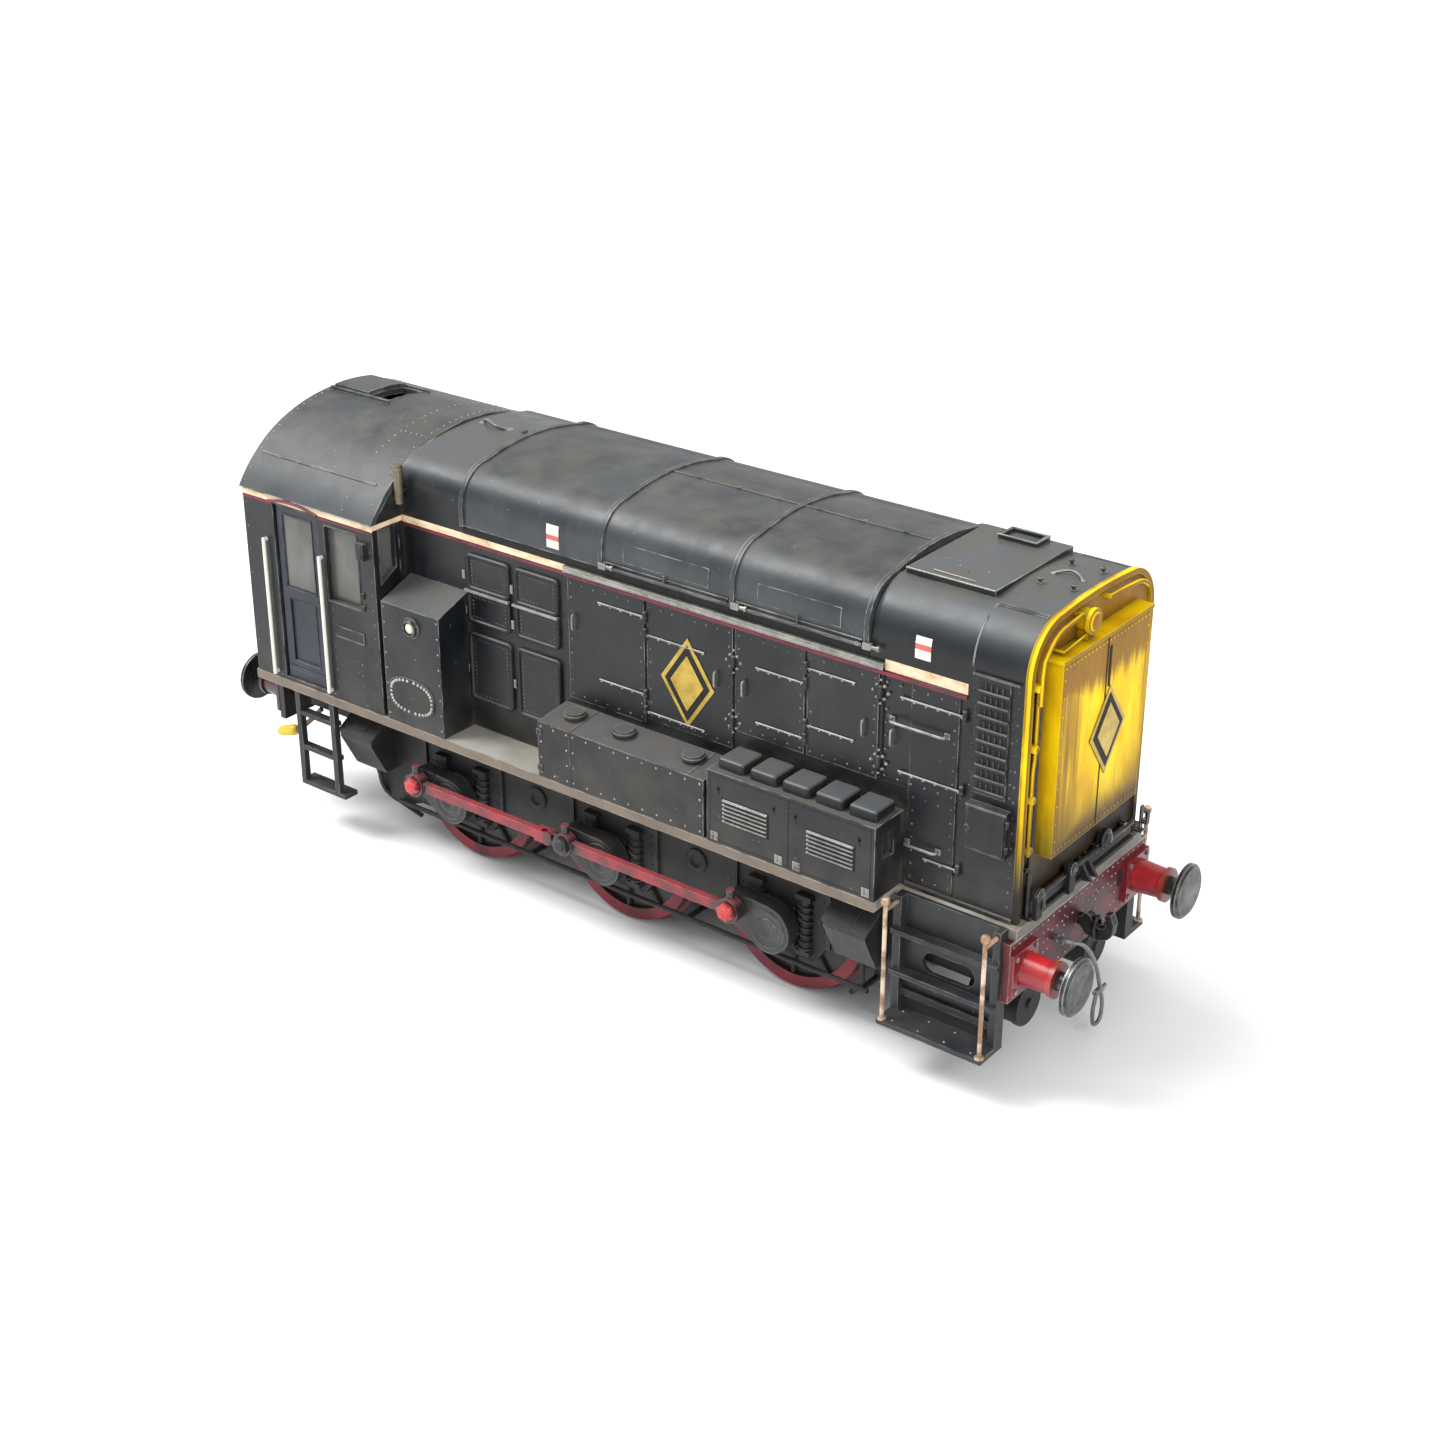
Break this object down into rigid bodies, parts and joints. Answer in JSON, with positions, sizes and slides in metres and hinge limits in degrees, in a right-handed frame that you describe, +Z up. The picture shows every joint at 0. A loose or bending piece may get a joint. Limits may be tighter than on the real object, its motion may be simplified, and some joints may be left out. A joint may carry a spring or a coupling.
{
  "type": "model diesel locomotive",
  "caption": "Model six-coupled diesel shunting locomotive with outside frames, coupling rods, arched bonnet and cab, sprung buffers and a yellow radiator end.",
  "frame": {"origin": "under the middle of the locomotive, midway between the buffer faces, at the foot of the wheel flanges", "axes": "+X towards the radiator end, +Z up, so +Y is the left-hand side"},
  "size_m": [0.205, 0.0608, 0.0898],
  "materials": {
    "body_paint": "weathered satin",
    "roof_paint": "weathered satin",
    "door_blue": "weathered satin",
    "nose_yellow": "weathered satin",
    "beam_red": "weathered satin",
    "buffer_red": "satin",
    "rod_red": "gloss",
    "crank_black": "oily satin",
    "wheel_paint": "painted, crimson rims",
    "steel": "worn",
    "dark_steel": "worn",
    "spring_steel": "bright",
    "underframe": "matt, dusty",
    "footplate_grey": "weathered",
    "cast_block": "blackened casting",
    "brass": "tarnished",
    "rail_wire": "painted off-white",
    "glazing": "clear",
    "interior": "matt",
    "circuit": "matt",
    "step_black": "worn edges"
  },
  "bodies": {
    "chassis": {"chassis_block": "cast_block", "keeper_plate": "cast_block", "body_screws": "steel", "frame_plates": "underframe", "footplate": "footplate_grey", "motor_can": "steel", "beam_front": "beam_red", "beam_rear": "beam_red", "buffer_housings": "buffer_red", "buffer_spring_front_right": "spring_steel", "buffer_spring_front_left": "spring_steel", "buffer_spring_rear_right": "spring_steel", "buffer_spring_rear_left": "spring_steel", "cab_shell": "body_paint", "cab_roof": "roof_paint", "cab_glazing": "glazing", "cab_interior": "interior", "whistle": "brass", "bonnet_shell": "body_paint", "bonnet_doors": "body_paint", "radiator": "nose_yellow", "headlamp": "nose_yellow", "nose_pipework": "dark_steel", "tall_boxes": "body_paint", "fuel_tanks": "body_paint", "battery_boxes": "body_paint", "front_steps": "step_black", "rear_ladders": "step_black", "sand_boxes": "underframe", "air_vessels": "underframe", "brake_gear": "underframe", "handrails": "rail_wire", "decoder_board": "circuit", "brake_hose": "dark_steel"},
    "wheelset_middle": {"axle_middle": "steel", "wheels_middle": "wheel_paint", "cranks_middle": "crank_black", "gear": "brass"},
    "wheelset_front": {"axle_front": "steel", "wheels_front": "wheel_paint", "cranks_front": "crank_black"},
    "wheelset_rear": {"axle_rear": "steel", "wheels_rear": "wheel_paint", "cranks_rear": "crank_black"},
    "rod_front_right_body": {"rod_front_right": "rod_red"},
    "rod_front_left_body": {"rod_front_left": "rod_red"},
    "rod_rear_right_body": {"rod_rear_right": "rod_red"},
    "rod_rear_left_body": {"rod_rear_left": "rod_red"},
    "motor_rotor": {"motor_shaft": "steel", "flywheel": "brass"},
    "buffer_front_right_body": {"buffer_head_front_right": "dark_steel"},
    "buffer_front_left_body": {"buffer_head_front_left": "dark_steel"},
    "buffer_rear_right_body": {"buffer_head_rear_right": "dark_steel"},
    "buffer_rear_left_body": {"buffer_head_rear_left": "dark_steel"},
    "hook_front_body": {"drawhook_front": "dark_steel"},
    "hook_rear_body": {"drawhook_rear": "dark_steel"},
    "door_right_body": {"cab_door_right": "door_blue"},
    "door_left_body": {"cab_door_left": "door_blue"},
    "hatch_body": {"roof_hatch": "roof_paint"},
    "cover_body": {"bonnet_cover": "roof_paint"}
  },
  "joints": [
    {"name": "middle_spin", "type": "hinge", "parent": "chassis", "child": "wheelset_middle", "pos_m": [0.001, 0, 0.01665], "axis": [0, 1, 0], "continuous": true},
    {"name": "front_spin", "type": "hinge", "parent": "chassis", "child": "wheelset_front", "pos_m": [0.0413, 0, 0.01665], "axis": [0, 1, 0], "continuous": true},
    {"name": "rear_spin", "type": "hinge", "parent": "chassis", "child": "wheelset_rear", "pos_m": [-0.0393, 0, 0.01665], "axis": [0, 1, 0], "continuous": true},
    {"name": "rod_front_right_pivot", "type": "hinge", "parent": "wheelset_middle", "child": "rod_front_right_body", "pos_m": [-0.00631, -0.0272, 0.01895], "axis": [0, 1, 0], "continuous": true},
    {"name": "rod_front_left_pivot", "type": "hinge", "parent": "wheelset_middle", "child": "rod_front_left_body", "pos_m": [0.0033, 0.0272, 0.02396], "axis": [0, 1, 0], "continuous": true},
    {"name": "rod_rear_right_pivot", "type": "hinge", "parent": "wheelset_rear", "child": "rod_rear_right_body", "pos_m": [-0.04661, -0.0272, 0.01895], "axis": [0, 1, 0], "continuous": true},
    {"name": "rod_rear_left_pivot", "type": "hinge", "parent": "wheelset_rear", "child": "rod_rear_left_body", "pos_m": [-0.037, 0.0272, 0.02396], "axis": [0, 1, 0], "continuous": true},
    {"name": "motor_spin", "type": "hinge", "parent": "chassis", "child": "motor_rotor", "pos_m": [-0.02, 0, 0.02865], "axis": [1, 0, 0], "continuous": true},
    {"name": "buffer_front_right_slide", "type": "slide", "parent": "chassis", "child": "buffer_front_right_body", "axis": [-1, 0, 0], "range_m": [0, 0.002], "stiffness_N_per_m": 600, "springref_m": -0.0006, "deforming": ["buffer_spring_front_right"]},
    {"name": "buffer_front_left_slide", "type": "slide", "parent": "chassis", "child": "buffer_front_left_body", "axis": [-1, 0, 0], "range_m": [0, 0.002], "stiffness_N_per_m": 600, "springref_m": -0.0006, "deforming": ["buffer_spring_front_left"]},
    {"name": "buffer_rear_right_slide", "type": "slide", "parent": "chassis", "child": "buffer_rear_right_body", "axis": [1, 0, 0], "range_m": [0, 0.002], "stiffness_N_per_m": 600, "springref_m": -0.0006, "deforming": ["buffer_spring_rear_right"]},
    {"name": "buffer_rear_left_slide", "type": "slide", "parent": "chassis", "child": "buffer_rear_left_body", "axis": [1, 0, 0], "range_m": [0, 0.002], "stiffness_N_per_m": 600, "springref_m": -0.0006, "deforming": ["buffer_spring_rear_left"]},
    {"name": "hook_front_slide", "type": "slide", "parent": "chassis", "child": "hook_front_body", "axis": [1, 0, 0], "range_m": [0, 0.0015], "stiffness_N_per_m": 800, "springref_m": -0.0004},
    {"name": "hook_rear_slide", "type": "slide", "parent": "chassis", "child": "hook_rear_body", "axis": [-1, 0, 0], "range_m": [0, 0.0015], "stiffness_N_per_m": 800, "springref_m": -0.0004},
    {"name": "door_right_hinge", "type": "hinge", "parent": "chassis", "child": "door_right_body", "pos_m": [-0.0811, -0.02825, 0.0535], "axis": [0, 0, 1], "range_deg": [0, 85]},
    {"name": "door_left_hinge", "type": "hinge", "parent": "chassis", "child": "door_left_body", "pos_m": [-0.0811, 0.02825, 0.0535], "axis": [0, 0, -1], "range_deg": [0, 85]},
    {"name": "roof_hatch_slide", "type": "slide", "parent": "chassis", "child": "hatch_body", "axis": [1, 0, 0], "range_m": [0, 0.006]},
    {"name": "bonnet_cover_lift", "type": "slide", "parent": "chassis", "child": "cover_body", "axis": [0, 0, 1], "range_m": [0, 0.03]}
  ],
  "couplings": [
    {"joint": "front_spin", "follows": "middle_spin", "ratio": 1},
    {"joint": "rear_spin", "follows": "middle_spin", "ratio": 1},
    {"joint": "rod_front_right_pivot", "follows": "middle_spin", "ratio": -1},
    {"joint": "rod_front_left_pivot", "follows": "middle_spin", "ratio": -1},
    {"joint": "rod_rear_right_pivot", "follows": "middle_spin", "ratio": -1},
    {"joint": "rod_rear_left_pivot", "follows": "middle_spin", "ratio": -1},
    {"joint": "motor_spin", "follows": "middle_spin", "ratio": -30}
  ]
}
